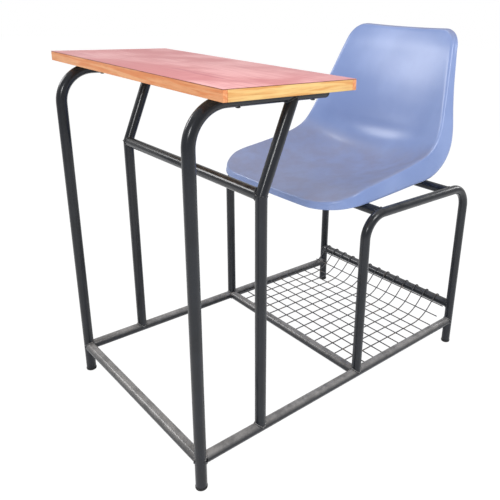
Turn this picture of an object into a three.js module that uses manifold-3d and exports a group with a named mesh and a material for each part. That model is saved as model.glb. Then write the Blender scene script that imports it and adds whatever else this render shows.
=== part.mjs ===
// Student desk chair: one welded round-tube frame that carries a level desktop, a moulded
// bucket seat and a wire book basket.  Millimetres, Z up.  The sitter faces -Y, so +X is their left.
// While building, Y is measured from the axis of the desk's front legs and Z from the floor; the
// last step moves the whole assembly so that its box is centred over the origin.
import * as THREE from "three";
import { mergeVertices } from "three/addons/utils/BufferGeometryUtils.js";
import Module from "manifold-3d";

const wasm = await Module();
wasm.setup();

// ---- driving dimensions -------------------------------------------------------------------------
const FIT_GAP = 0.3; // left between two pieces that touch
const TUBE_OD = 22; // outside diameter of every frame tube
const TUBE_WALL = 1.4;
const TUBE_SIDES = 12;
const BEND_STEPS = 6;

const FRAME_SPACING = 495.4; // between the left and right side frames, axis to axis
const DESK_HEIGHT = 750; // floor to the top of the laminate
const DESKTOP_WIDTH = 639;
const DESKTOP_DEPTH = 269.5;
const DESKTOP_SETBACK = 15.5; // desktop front edge behind the front leg axis
const BOARD_THICKNESS = 17.7;
const LAMINATE_THICKNESS = 1;
const EDGE_STRIP_THICKNESS = 8;
const DESK_BEND_RADIUS = 70; // centreline bend between front leg and desk rail

const REAR_POST_Y = 139;
const KNEE_HEIGHT = 552; // where the upright post is cut and turned into the slanted brace
const BRACE_TOP_Y = 205;
const FLOOR_RAIL_HEIGHT = 65;
const CHAIR_FRONT_Y = 419;
const CHAIR_LENGTH = 368; // chair front leg to chair rear leg
const CHAIR_RAIL_HEIGHT = 449;
const CHAIR_BEND_RADIUS = 52;
const REAR_RAIL_HEIGHT = 113;
const SEAT_TUBE_FRONT_SETBACK = 46; // behind the chair's front legs
const SEAT_TUBE_SPACING = 253;

const FOOT_CAP_HEIGHT = 5.4; // part of the cap that shows under the tube
const FOOT_CAP_OVERHANG = 0.6;
const CAP_EDGE = 1.5; // chamfer round a cap's outer end
const PLUG_LENGTH = 12;

const WIRE_SIZE = 2.7;
const WIRE_PITCH_ACROSS = 35.8;
const WIRE_PITCH_ALONG = 32;
const WIRE_COLUMNS = 13;
const WIRE_SHEET_SHIFT = -12.3; // the sheet sits a little towards the sitter's right
const FIRST_ROW_OFFSET = 30;
const BASKET_HEIGHT = 70;
const BASKET_BEND_RADIUS = 90;
const BASKET_RISE_ANGLE = 45;
const WIRE_HOOK_ANGLE = 100; // how far each wire end turns over the raised rail
const WIRE_BEND_STEPS = 5;
const WIRE_TAIL = 1; // straight end of a hooked wire
const WIRE_WELD_SINK = 0.5; // crossing wires are melted into each other by this much

const SHELL_THICKNESS = 4.5;
const SHELL_HALF_WIDTH = 200; // nominal; the table below varies it along the shell
const SHELL_FRONT_CORNER = 74;
const SHELL_TOP_CORNER = 38;
const SKIRT_ROLL_RADIUS = 7; // rounded lip between the pan and its turned-down skirt
const SKIRT_FLARE = 5;
const SKIRT_ROLL_SHARE = 0.35; // part of the flat skirt that becomes the rounded lip

const BOSS_X = 100;
const BOSS_FOOT_RADIUS = 12;
const BOSS_ROOT_RADIUS = 17;
const BOSS_ROOT_HEIGHT = 60; // where the evenly widening boss has its root radius
const BOSS_SIDES = 14;
const SADDLE_DEPTH = 6; // how far each boss reaches down around its seat tube
const SEAT_SCREW_DIAMETER = 6;
const SEAT_SCREW_DEPTH = 13;
const DESK_SCREW_DIAMETER = 4.5;
const DESK_SCREW_DEPTH = 13;
const DESK_SCREW_FRONT_Y = 92;
const DESK_SCREW_REAR_Y = 252;
const SCREW_CLEARANCE = 0.3;
const SCREW_HEAD_RATIO = 1.9; // head diameter over shank diameter
const SCREW_HEAD_HEIGHT = 2;
const SCREW_CROWN_SHARE = 0.6; // flat middle of the head over its diameter
const SCREW_RIM_SHARE = 0.4; // height of the head's rim over the head's height
const SCREW_SIDES = 8;

// ---- sizes that follow from them ----------------------------------------------------------------
const TUBE_RADIUS = TUBE_OD / 2;
const BORE_RADIUS = TUBE_RADIUS - TUBE_WALL;
const HALF_SPACING = FRAME_SPACING / 2;
const DESKTOP_FRONT_Y = DESKTOP_SETBACK;
const DESKTOP_REAR_Y = DESKTOP_SETBACK + DESKTOP_DEPTH;
const BOARD_TOP = DESK_HEIGHT - LAMINATE_THICKNESS - FIT_GAP;
const BOARD_BOTTOM = BOARD_TOP - BOARD_THICKNESS;
const DESK_RAIL_HEIGHT = BOARD_BOTTOM - FIT_GAP - TUBE_RADIUS;
const DESK_RAIL_END_Y = DESKTOP_REAR_Y - FOOT_CAP_HEIGHT - FIT_GAP;
const CHAIR_REAR_Y = CHAIR_FRONT_Y + CHAIR_LENGTH;
const SEAT_TUBE_FRONT_Y = CHAIR_FRONT_Y + SEAT_TUBE_FRONT_SETBACK;
const SEAT_TUBE_REAR_Y = SEAT_TUBE_FRONT_Y + SEAT_TUBE_SPACING;
const LEG_BOTTOM = FOOT_CAP_HEIGHT + FIT_GAP;
const OVERRUN = 30; // how far a tube runs past a joint before it is coped
const KNEE_OVERRUN = 8; // the same past the knee, for the tools that cope the cross tube
const SIDES = [["left", 1], ["right", -1]];

// The seat shell, front lip to top edge: how far the side rim is back from the chair's front legs
// and up from its side rails, half width, skirt length and how far the middle is dished.
const SHELL_STATIONS = [
  { back: -67, up: 26, half: 203, skirt: 14, dish: 4 },
  { back: -34, up: 35, half: 212, skirt: 20, dish: 9 },
  { back: 13, up: 51, half: 215, skirt: 33, dish: 20 },
  { back: 86, up: 63, half: 215, skirt: 40, dish: 30 },
  { back: 173, up: 79, half: 215, skirt: 49, dish: 42 },
  { back: 227, up: 96, half: 218, skirt: 60, dish: 50 },
  { back: 257, up: 120, half: 219, skirt: 59, dish: 47 },
  { back: 278, up: 155, half: 214, skirt: 48, dish: 37 },
  { back: 299, up: 203, half: 202, skirt: 32, dish: 28 },
  { back: 318, up: 251, half: 190, skirt: 22, dish: 21 },
  { back: 337, up: 301, half: 178, skirt: 17, dish: 16 },
  { back: 350, up: 333, half: 170, skirt: 14, dish: 12 },
  { back: 368, up: 370, half: 161, skirt: 13, dish: 8 },
];

// ---- materials ----------------------------------------------------------------------------------
function finish(name, color, roughness, metalness) {
  const material = new THREE.MeshStandardMaterial({ color, roughness, metalness });
  material.name = name;
  return material;
}
const tubePaint = () => finish("tube_paint", 0x23282e, 0.35, 0.1);
const laminateFinish = () => finish("laminate", 0xd98088, 0.4, 0);
const edgeWood = () => finish("edge_wood", 0xe3a868, 0.6, 0);
const boardCore = () => finish("board_core", 0xb08a5e, 0.8, 0);
const seatPlastic = () => finish("seat_plastic", 0x8494cf, 0.3, 0);
const basketWire = () => finish("basket_wire", 0x6c6a68, 0.5, 0.7);
const capPlastic = () => finish("cap_plastic", 0x151618, 0.6, 0);
const screwSteel = () => finish("screw_steel", 0x9a9ca0, 0.35, 1);

// ---- solid helpers ------------------------------------------------------------------------------
function solidFrom(geometry) {
  geometry.deleteAttribute("normal");
  geometry.deleteAttribute("uv");
  const merged = mergeVertices(geometry, 1e-4);
  const vertProperties = new Float32Array(merged.attributes.position.array);
  const triVerts = new Uint32Array(merged.index.array);
  return new wasm.Manifold(new wasm.Mesh({ numProp: 3, vertProperties, triVerts }));
}

function geometryFrom(solid) {
  const mesh = solid.getMesh();
  const stride = mesh.numProp;
  const count = mesh.vertProperties.length / stride;
  const positions = new Float32Array(count * 3);
  for (let i = 0; i < count; i += 1) {
    for (let axis = 0; axis < 3; axis += 1) {
      positions[i * 3 + axis] = mesh.vertProperties[i * stride + axis];
    }
  }
  const geometry = new THREE.BufferGeometry();
  geometry.setAttribute("position", new THREE.BufferAttribute(positions, 3));
  geometry.setIndex(new THREE.BufferAttribute(new Uint32Array(mesh.triVerts), 1));
  geometry.computeVertexNormals();
  return geometry;
}

function subtractAll(solid, cutters) {
  return cutters.reduce((body, cutter) => body.subtract(cutter), solid);
}

const group = new THREE.Group();
group.name = "student_desk_chair";

function addPart(name, solid, material) {
  const mesh = new THREE.Mesh(geometryFrom(solid), material);
  mesh.name = name;
  group.add(mesh);
}

// ---- bent tube paths ----------------------------------------------------------------------------
// A path held as stations, so that straights cost nothing and bends are evenly stepped.
class StationPath extends THREE.Curve {
  constructor(stations) {
    super();
    this.stations = stations;
  }
  station(u) {
    return this.stations[Math.round(u * (this.stations.length - 1))];
  }
  getPoint(u) {
    return this.station(u).point.clone();
  }
  getPointAt(u) {
    return this.getPoint(u);
  }
  getTangent(u) {
    return this.station(u).tangent.clone();
  }
  getTangentAt(u) {
    return this.getTangent(u);
  }
}

function arcStations(before, corner, after, radius, steps) {
  const into = corner.clone().sub(before).normalize();
  const out = after.clone().sub(corner).normalize();
  const turn = into.angleTo(out);
  const setback = radius * Math.tan(turn / 2);
  const start = corner.clone().addScaledVector(into, -setback);
  const axis = into.clone().cross(out).normalize();
  const toCentre = axis.clone().cross(into);
  const centre = start.clone().addScaledVector(toCentre, radius);
  const stations = [];
  for (let i = 0; i <= steps; i += 1) {
    const angle = (turn * i) / steps;
    const spoke = start.clone().sub(centre).applyAxisAngle(axis, angle);
    const tangent = into.clone().applyAxisAngle(axis, angle);
    stations.push({ point: centre.clone().add(spoke), tangent });
  }
  return stations;
}

function bentPath(corners, radii = [], steps = BEND_STEPS) {
  const last = corners.length - 1;
  const direction = (a, b) => corners[b].clone().sub(corners[a]).normalize();
  const stations = [{ point: corners[0], tangent: direction(0, 1) }];
  for (let i = 1; i < last; i += 1) {
    stations.push(...arcStations(corners[i - 1], corners[i], corners[i + 1], radii[i - 1], steps));
  }
  stations.push({ point: corners[last], tangent: direction(last - 1, last) });
  return new StationPath(stations);
}

function circlePoints(radius, sides) {
  const points = [];
  for (let i = 0; i < sides; i += 1) {
    const angle = (i / sides) * Math.PI * 2;
    points.push(new THREE.Vector2(radius * Math.cos(angle), radius * Math.sin(angle)));
  }
  return points;
}

function sweep(path, radius, boreRadius, sides) {
  const section = new THREE.Shape(circlePoints(radius, sides));
  if (boreRadius > 0) {
    section.holes.push(new THREE.Path(circlePoints(boreRadius, sides)));
  }
  const steps = path.stations.length - 1;
  return solidFrom(new THREE.ExtrudeGeometry(section, { steps, extrudePath: path }));
}

const hollow = (path) => sweep(path, TUBE_RADIUS, BORE_RADIUS, TUBE_SIDES);
const cope = (path) => sweep(path, TUBE_RADIUS + FIT_GAP, 0, TUBE_SIDES);
const rod = (path, radius) => sweep(path, radius, 0, SCREW_SIDES);
const point = (x, y, z) => new THREE.Vector3(x, y, z);

// ---- tube centrelines ---------------------------------------------------------------------------
function deskSidePath(x, bottom = LEG_BOTTOM) {
  const corners = [
    point(x, 0, bottom),
    point(x, 0, DESK_RAIL_HEIGHT),
    point(x, DESK_RAIL_END_Y, DESK_RAIL_HEIGHT),
  ];
  return bentPath(corners, [DESK_BEND_RADIUS]);
}

function chairSidePath(x) {
  const corners = [
    point(x, CHAIR_FRONT_Y, FLOOR_RAIL_HEIGHT),
    point(x, CHAIR_FRONT_Y, CHAIR_RAIL_HEIGHT),
    point(x, CHAIR_REAR_Y, CHAIR_RAIL_HEIGHT),
    point(x, CHAIR_REAR_Y, LEG_BOTTOM),
  ];
  return bentPath(corners, [CHAIR_BEND_RADIUS, CHAIR_BEND_RADIUS]);
}

const postPath = (x, top = KNEE_HEIGHT) =>
  bentPath([point(x, REAR_POST_Y, FLOOR_RAIL_HEIGHT), point(x, REAR_POST_Y, top)]);
const floorSidePath = (x) =>
  bentPath([point(x, 0, FLOOR_RAIL_HEIGHT), point(x, CHAIR_REAR_Y, FLOOR_RAIL_HEIGHT)]);
const crossPath = (y, z) => bentPath([point(-HALF_SPACING, y, z), point(HALF_SPACING, y, z)]);

function bracePath(x, overrun = 0) {
  const knee = point(x, REAR_POST_Y, KNEE_HEIGHT);
  const top = point(x, BRACE_TOP_Y, DESK_RAIL_HEIGHT);
  const along = top.clone().sub(knee).normalize();
  return bentPath([knee.addScaledVector(along, -overrun), top]);
}

// A wedge that removes everything beyond the mitre plane of the knee; side is +1 for the brace half.
function kneeCutter(x, side) {
  const knee = point(x, REAR_POST_Y, KNEE_HEIGHT);
  const along = point(x, BRACE_TOP_Y, DESK_RAIL_HEIGHT).sub(knee).normalize();
  const normal = along.add(point(0, 0, 1)).normalize();
  const size = OVERRUN * 4;
  const block = new THREE.BoxGeometry(size, size, size);
  block.translate(0, 0, side * (size / 2 - FIT_GAP / 2));
  block.applyQuaternion(new THREE.Quaternion().setFromUnitVectors(point(0, 0, 1), normal));
  block.translate(knee.x, knee.y, knee.z);
  return solidFrom(block);
}

function screwHole(x, y, z, diameter) {
  const reach = TUBE_OD;
  const radius = diameter / 2 + SCREW_CLEARANCE;
  return rod(bentPath([point(x, y, z - reach), point(x, y, z + reach)]), radius);
}

// ---- frame --------------------------------------------------------------------------------------
function buildDeskSideTube(side, sign) {
  const x = sign * HALF_SPACING;
  const holes = [DESK_SCREW_FRONT_Y, DESK_SCREW_REAR_Y]
    .map((y) => screwHole(x, y, DESK_RAIL_HEIGHT, DESK_SCREW_DIAMETER));
  addPart(`desk_side_tube_${side}`, subtractAll(hollow(deskSidePath(x)), holes), tubePaint());
}

function buildRearPost(side, sign) {
  const x = sign * HALF_SPACING;
  const blank = hollow(postPath(x, KNEE_HEIGHT + OVERRUN));
  const cutters = [kneeCutter(x, 1), cope(floorSidePath(x))];
  addPart(`desk_rear_post_${side}`, largest(subtractAll(blank, cutters)), tubePaint());
}

function buildRearBrace(side, sign) {
  const x = sign * HALF_SPACING;
  const blank = hollow(bracePath(x, OVERRUN));
  const cutters = [kneeCutter(x, -1), cope(deskSidePath(x))];
  addPart(`desk_rear_brace_${side}`, largest(subtractAll(blank, cutters)), tubePaint());
}

function buildFloorSideRail(side, sign) {
  const x = sign * HALF_SPACING;
  const cutters = [cope(deskSidePath(x)), cope(chairSidePath(x))];
  const rail = largest(subtractAll(hollow(floorSidePath(x)), cutters));
  addPart(`floor_side_rail_${side}`, rail, tubePaint());
}

function buildChairSideFrame(side, sign) {
  const x = sign * HALF_SPACING;
  const start = bentPath([
    point(x, 0, FLOOR_RAIL_HEIGHT),
    point(x, CHAIR_REAR_Y - OVERRUN, FLOOR_RAIL_HEIGHT),
  ]);
  const frame = largest(hollow(chairSidePath(x)).subtract(cope(start)));
  addPart(`chair_side_frame_${side}`, frame, tubePaint());
}

// Coping can leave a crescent of the blank beyond the joint; the tube itself is the largest body.
function largest(solid) {
  return solid.decompose().reduce((a, b) => (a.volume() > b.volume() ? a : b));
}

function buildCrossTube(name, y, z, neighbours, holes = []) {
  const cutters = [];
  for (const x of [-HALF_SPACING, HALF_SPACING]) {
    cutters.push(...neighbours.map((path) => cope(path(x))));
  }
  const tube = largest(subtractAll(hollow(crossPath(y, z)), [...cutters, ...holes]));
  addPart(name, tube, tubePaint());
}

function buildSeatCrossTube(name, y) {
  const holes = [-BOSS_X, BOSS_X]
    .map((x) => screwHole(x, y, CHAIR_RAIL_HEIGHT, SEAT_SCREW_DIAMETER));
  buildCrossTube(name, y, CHAIR_RAIL_HEIGHT, [chairSidePath], holes);
}

for (const [side, sign] of SIDES) {
  buildDeskSideTube(side, sign);
  buildRearPost(side, sign);
  buildRearBrace(side, sign);
  buildFloorSideRail(side, sign);
  buildChairSideFrame(side, sign);
}
buildCrossTube("knee_cross_tube", REAR_POST_Y, KNEE_HEIGHT, [
  (x) => postPath(x, KNEE_HEIGHT + KNEE_OVERRUN),
  (x) => bracePath(x, KNEE_OVERRUN),
]);
buildCrossTube("floor_front_rail", 0, FLOOR_RAIL_HEIGHT, [deskSidePath, floorSidePath]);
buildCrossTube("floor_middle_rail", CHAIR_FRONT_Y, FLOOR_RAIL_HEIGHT, [
  floorSidePath,
  chairSidePath,
]);
buildCrossTube("basket_rear_rail", CHAIR_REAR_Y, REAR_RAIL_HEIGHT, [chairSidePath]);
buildSeatCrossTube("seat_cross_tube_front", SEAT_TUBE_FRONT_Y);
buildSeatCrossTube("seat_cross_tube_rear", SEAT_TUBE_REAR_Y);

// ---- end caps: a plug in the bore and a rounded button outside it -------------------------------
function capGeometry(outerRadius, height) {
  const plugRadius = BORE_RADIUS - FIT_GAP;
  const profile = [
    [0, 0],
    [outerRadius - CAP_EDGE, 0],
    [outerRadius, CAP_EDGE],
    [outerRadius, height],
    [plugRadius, height],
    [plugRadius, height + PLUG_LENGTH],
    [0, height + PLUG_LENGTH],
  ].map(([r, y]) => new THREE.Vector2(r, y));
  const geometry = new THREE.LatheGeometry(profile, TUBE_SIDES);
  geometry.rotateX(Math.PI / 2);
  return geometry;
}

function buildFootCap(name, x, y) {
  const geometry = capGeometry(TUBE_RADIUS + FOOT_CAP_OVERHANG, FOOT_CAP_HEIGHT);
  geometry.translate(x, y, 0);
  addPart(name, solidFrom(geometry), capPlastic());
}

function buildRailCap(name, x) {
  const geometry = capGeometry(TUBE_RADIUS, FOOT_CAP_HEIGHT);
  geometry.rotateX(Math.PI / 2);
  geometry.translate(x, DESKTOP_REAR_Y, DESK_RAIL_HEIGHT);
  addPart(name, solidFrom(geometry), capPlastic());
}

for (const [side, sign] of SIDES) {
  buildFootCap(`foot_cap_front_${side}`, sign * HALF_SPACING, 0);
  buildFootCap(`foot_cap_rear_${side}`, sign * HALF_SPACING, CHAIR_REAR_Y);
  buildRailCap(`desk_rail_cap_${side}`, sign * HALF_SPACING);
}

// ---- desktop ------------------------------------------------------------------------------------
function slab(x0, x1, y0, y1, z0, z1) {
  const geometry = new THREE.BoxGeometry(x1 - x0, y1 - y0, z1 - z0);
  geometry.translate((x0 + x1) / 2, (y0 + y1) / 2, (z0 + z1) / 2);
  return solidFrom(geometry);
}

function buildDesktop() {
  const half = DESKTOP_WIDTH / 2;
  const inset = EDGE_STRIP_THICKNESS + FIT_GAP;
  const inner = half - inset;
  const front = DESKTOP_FRONT_Y + inset;
  const rear = DESKTOP_REAR_Y - inset;
  const holes = [];
  for (const [, sign] of SIDES) {
    for (const y of [DESK_SCREW_FRONT_Y, DESK_SCREW_REAR_Y]) {
      holes.push(pilotHole(sign * HALF_SPACING, y, BOARD_BOTTOM, DESK_SCREW_DIAMETER,
        DESK_SCREW_DEPTH));
    }
  }
  const board = slab(-inner, inner, front, rear, BOARD_BOTTOM, BOARD_TOP);
  addPart("desktop_board", subtractAll(board, holes), boardCore());
  addPart("desktop_laminate",
    slab(-half, half, DESKTOP_FRONT_Y, DESKTOP_REAR_Y, DESK_HEIGHT - LAMINATE_THICKNESS,
      DESK_HEIGHT), laminateFinish());
  const strips = {
    front: [-half, half, DESKTOP_FRONT_Y, DESKTOP_FRONT_Y + EDGE_STRIP_THICKNESS],
    rear: [-half, half, DESKTOP_REAR_Y - EDGE_STRIP_THICKNESS, DESKTOP_REAR_Y],
    left: [inner + FIT_GAP, half, front, rear],
    right: [-half, -inner - FIT_GAP, front, rear],
  };
  for (const [edge, plan] of Object.entries(strips)) {
    addPart(`desktop_edge_${edge}`, slab(...plan, BOARD_BOTTOM, BOARD_TOP), edgeWood());
  }
}

// A blind hole that starts at height z and stops a clearance above the screw's point.
function pilotHole(x, y, z, diameter, depth) {
  const top = z + depth + SCREW_CLEARANCE;
  return rod(bentPath([point(x, y, z - 1), point(x, y, top)]), diameter / 2 + SCREW_CLEARANCE);
}

// ---- screws driven upwards through a tube -------------------------------------------------------
function buildScrew(name, x, y, tubeHeight, diameter, depth) {
  const radius = diameter / 2;
  const headRadius = radius * SCREW_HEAD_RATIO;
  const seat = tubeHeight - TUBE_RADIUS - FIT_GAP;
  const tip = tubeHeight + TUBE_RADIUS + FIT_GAP + depth;
  const profile = [
    [0, seat - SCREW_HEAD_HEIGHT],
    [headRadius * SCREW_CROWN_SHARE, seat - SCREW_HEAD_HEIGHT],
    [headRadius, seat - SCREW_HEAD_HEIGHT * SCREW_RIM_SHARE],
    [headRadius, seat],
    [radius, seat],
    [radius, tip - radius],
    [0, tip],
  ].map(([r, z]) => new THREE.Vector2(r, z));
  const geometry = new THREE.LatheGeometry(profile, SCREW_SIDES);
  geometry.rotateX(Math.PI / 2);
  geometry.translate(x, y, 0);
  addPart(name, solidFrom(geometry), screwSteel());
}

function buildScrews() {
  for (const [side, sign] of SIDES) {
    for (const [end, y] of [["front", DESK_SCREW_FRONT_Y], ["rear", DESK_SCREW_REAR_Y]]) {
      buildScrew(`desktop_screw_${end}_${side}`, sign * HALF_SPACING, y, DESK_RAIL_HEIGHT,
        DESK_SCREW_DIAMETER, DESK_SCREW_DEPTH);
    }
    for (const [end, y] of [["front", SEAT_TUBE_FRONT_Y], ["rear", SEAT_TUBE_REAR_Y]]) {
      buildScrew(`seat_screw_${end}_${side}`, sign * BOSS_X, y, CHAIR_RAIL_HEIGHT,
        SEAT_SCREW_DIAMETER, SEAT_SCREW_DEPTH);
    }
  }
}

// ---- book basket: a sheet of welded wire, flat, then curving up and hooked over the rear rail ----
function basketCorners(x) {
  const rise = THREE.MathUtils.degToRad(BASKET_RISE_ANGLE);
  const hookRadius = TUBE_RADIUS + FIT_GAP + WIRE_SIZE / 2;
  const along = point(0, Math.cos(rise), Math.sin(rise));
  const tangentPoint = point(x, CHAIR_REAR_Y, REAR_RAIL_HEIGHT)
    .add(point(0, -Math.sin(rise), Math.cos(rise)).multiplyScalar(hookRadius));
  const climb = (tangentPoint.z - BASKET_HEIGHT) / Math.sin(rise);
  const bendCorner = tangentPoint.clone().addScaledVector(along, -climb);
  const hook = THREE.MathUtils.degToRad(WIRE_HOOK_ANGLE);
  const crest = tangentPoint.clone().addScaledVector(along, hookRadius * Math.tan(hook / 2));
  const down = along.clone().applyAxisAngle(point(1, 0, 0), -hook);
  const end = crest.clone().addScaledVector(down, hookRadius * Math.tan(hook / 2) + WIRE_TAIL);
  const start = point(x, CHAIR_FRONT_Y + TUBE_RADIUS - WIRE_SIZE, BASKET_HEIGHT);
  return { corners: [start, bendCorner, crest, end], radii: [BASKET_BEND_RADIUS, hookRadius] };
}

function basketColumnPath(x) {
  const { corners, radii } = basketCorners(x);
  return bentPath(corners, radii, WIRE_BEND_STEPS);
}

// Position and heading on the basket's side view, a given distance behind the middle rail.
function basketStation(distance) {
  const { corners } = basketCorners(0);
  const rise = THREE.MathUtils.degToRad(BASKET_RISE_ANGLE);
  const bendStart = corners[1].y - BASKET_BEND_RADIUS * Math.tan(rise / 2);
  const y = CHAIR_FRONT_Y + TUBE_RADIUS + distance;
  const past = y - bendStart;
  if (past <= 0) {
    return { y, z: BASKET_HEIGHT, angle: 0 };
  }
  const angle = Math.min(past / BASKET_BEND_RADIUS, rise);
  const straight = past - angle * BASKET_BEND_RADIUS;
  return {
    y: bendStart + BASKET_BEND_RADIUS * Math.sin(angle) + straight * Math.cos(angle),
    z: BASKET_HEIGHT + BASKET_BEND_RADIUS * (1 - Math.cos(angle)) + straight * Math.sin(angle),
    angle,
  };
}

function basketRow(distance) {
  const station = basketStation(distance);
  const drop = WIRE_SIZE - WIRE_WELD_SINK;
  const length = FRAME_SPACING - 2 * (TUBE_RADIUS + FIT_GAP);
  const wire = new THREE.BoxGeometry(length, WIRE_SIZE, WIRE_SIZE);
  wire.translate(0, 0, -drop);
  wire.rotateX(station.angle);
  wire.translate(0, station.y, station.z);
  return solidFrom(wire);
}

function buildBasket() {
  const wires = [];
  const halfDiagonal = WIRE_SIZE / Math.SQRT2;
  for (let i = 0; i < WIRE_COLUMNS; i += 1) {
    const x = WIRE_SHEET_SHIFT + (i - (WIRE_COLUMNS - 1) / 2) * WIRE_PITCH_ACROSS;
    wires.push(sweep(basketColumnPath(x), halfDiagonal, 0, 4));
  }
  const { corners, radii } = basketCorners(0);
  const rise = THREE.MathUtils.degToRad(BASKET_RISE_ANGLE);
  const bendStart = corners[1].y - radii[0] * Math.tan(rise / 2);
  const climbEnd = corners[2].distanceTo(corners[1]) - radii[0] * Math.tan(rise / 2)
    - radii[1] * Math.tan(THREE.MathUtils.degToRad(WIRE_HOOK_ANGLE) / 2);
  const sheet = bendStart - CHAIR_FRONT_Y - TUBE_RADIUS + radii[0] * rise + climbEnd;
  for (let distance = FIRST_ROW_OFFSET; distance < sheet; distance += WIRE_PITCH_ALONG) {
    wires.push(basketRow(distance));
  }
  const mesh = wires.reduce((body, wire) => body.add(wire));
  const trimmed = subtractAll(mesh, [
    cope(crossPath(CHAIR_FRONT_Y, FLOOR_RAIL_HEIGHT)),
    cope(crossPath(CHAIR_REAR_Y, REAR_RAIL_HEIGHT)),
  ]);
  addPart("book_basket", trimmed, basketWire());
}

// ---- seat shell ---------------------------------------------------------------------------------
const rimCurve = new THREE.SplineCurve(SHELL_STATIONS.map(
  (s) => new THREE.Vector2(CHAIR_FRONT_Y + s.back, CHAIR_RAIL_HEIGHT + s.up)));
rimCurve.arcLengthDivisions = 400;
const RIM_LENGTH = rimCurve.getLength();
const STATION_DISTANCES = stationDistances();
const SKIRT_SPAN = 20; // width of the skirt on the flat pattern of the shell
const ROLL_SPAN = SKIRT_SPAN * SKIRT_ROLL_SHARE;

function stationDistances() {
  const lengths = rimCurve.getLengths();
  const last = SHELL_STATIONS.length - 1;
  return SHELL_STATIONS.map((_, i) => lengths[Math.round((i / last) * (lengths.length - 1))]);
}

// Smoothly interpolated shell value (half, skirt or dish) at a distance along the rim.
function shellValue(key, distance) {
  const d = THREE.MathUtils.clamp(distance, 0, RIM_LENGTH);
  const last = SHELL_STATIONS.length - 1;
  let i = 0;
  while (i < last - 1 && d > STATION_DISTANCES[i + 1]) {
    i += 1;
  }
  const span = STATION_DISTANCES[i + 1] - STATION_DISTANCES[i];
  const t = THREE.MathUtils.smoothstep((d - STATION_DISTANCES[i]) / span, 0, 1);
  return THREE.MathUtils.lerp(SHELL_STATIONS[i][key], SHELL_STATIONS[i + 1][key], t);
}

// The flat pattern is a rounded rectangle.  Corner cells are bent into quarter discs, so that each
// square line round a corner becomes an arc and the rim stays on a grid line.
function flatPattern(x, s) {
  const front = s < RIM_LENGTH / 2;
  const radius = front ? SHELL_FRONT_CORNER : SHELL_TOP_CORNER;
  const endward = front ? radius - s : s - (RIM_LENGTH - radius);
  const sideward = Math.abs(x) - (SHELL_HALF_WIDTH - radius);
  if (endward <= 0 || sideward <= 0) {
    return [x, s];
  }
  const arc = Math.max(sideward, endward);
  const turn = (Math.PI / 4) * (Math.min(sideward, endward) / arc);
  const angle = sideward > endward ? turn : Math.PI / 2 - turn;
  const flatX = Math.sign(x) * (SHELL_HALF_WIDTH - radius + arc * Math.cos(angle));
  const along = arc * Math.sin(angle);
  return [flatX, front ? radius - along : RIM_LENGTH - radius + along];
}

// Nearest rim point to a flat point, how far past the rim it is and in which direction.
function rimPoint(x, s) {
  const front = s < RIM_LENGTH / 2;
  const radius = front ? SHELL_FRONT_CORNER : SHELL_TOP_CORNER;
  const inwardEnd = front ? radius : RIM_LENGTH - radius;
  const sideward = Math.max(Math.abs(x) - (SHELL_HALF_WIDTH - radius), 0);
  const endward = Math.max(front ? inwardEnd - s : s - inwardEnd, 0);
  const distance = Math.hypot(sideward, endward);
  const past = distance - radius;
  if (past <= 0) {
    return { x, s, past: 0, outX: 0, outS: 0 };
  }
  const outX = (Math.sign(x) * sideward) / distance;
  const outS = ((front ? -1 : 1) * endward) / distance;
  return { x: x - outX * past, s: s - outS * past, past, outX, outS };
}

function shellSurface(flatX, flatS) {
  const rim = rimPoint(flatX, flatS);
  const u = THREE.MathUtils.clamp(rim.s / RIM_LENGTH, 0, 1);
  const base = rimCurve.getPointAt(u);
  const tangent = rimCurve.getTangentAt(u);
  const along = point(0, tangent.x, tangent.y);
  const away = point(0, tangent.y, -tangent.x);
  const width = shellValue("half", rim.s) / SHELL_HALF_WIDTH;
  const across = rim.x / SHELL_HALF_WIDTH;
  const dish = shellValue("dish", rim.s) * (1 - across * across);
  const result = point(rim.x * width, base.x, base.y).addScaledVector(away, dish);
  if (rim.past === 0) {
    return result;
  }
  const t = rim.past / SKIRT_SPAN;
  const roll = Math.min(t / SKIRT_ROLL_SHARE, 1) * (Math.PI / 2);
  const straight = Math.max(t - SKIRT_ROLL_SHARE, 0) / (1 - SKIRT_ROLL_SHARE);
  const length = shellValue("skirt", rim.s) - SKIRT_ROLL_RADIUS;
  const out = SKIRT_ROLL_RADIUS * Math.sin(roll) + SKIRT_FLARE * straight;
  const drop = SKIRT_ROLL_RADIUS * (1 - Math.cos(roll)) + length * straight;
  const outward = point(rim.outX, 0, 0).addScaledVector(along, rim.outS).normalize();
  return result.addScaledVector(outward, out).addScaledVector(away, drop);
}

function shellNormal(x, s) {
  const step = 0.5;
  const dx = shellSurface(x + step, s).sub(shellSurface(x - step, s));
  const ds = shellSurface(x, s + step).sub(shellSurface(x, s - step));
  return dx.cross(ds).normalize();
}

// A box whose grid is laid over the flat pattern; lower turns a surface point into its underside.
function mappedSlab(columns, rows, upper, lower) {
  const box = new THREE.BoxGeometry(1, 1, 1, columns.length - 1, rows.length - 1, 1);
  const position = box.attributes.position;
  for (let i = 0; i < position.count; i += 1) {
    const column = columns[Math.round((position.getX(i) + 0.5) * (columns.length - 1))];
    const row = rows[Math.round((position.getY(i) + 0.5) * (rows.length - 1))];
    const [x, s] = flatPattern(column, row);
    const mapped = position.getZ(i) > 0 ? upper(x, s) : lower(x, s);
    position.setXYZ(i, mapped.x, mapped.y, mapped.z);
  }
  return solidFrom(box);
}

function spread(from, to, count) {
  return Array.from({ length: count }, (_, i) => from + ((to - from) * i) / (count - 1));
}

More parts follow.
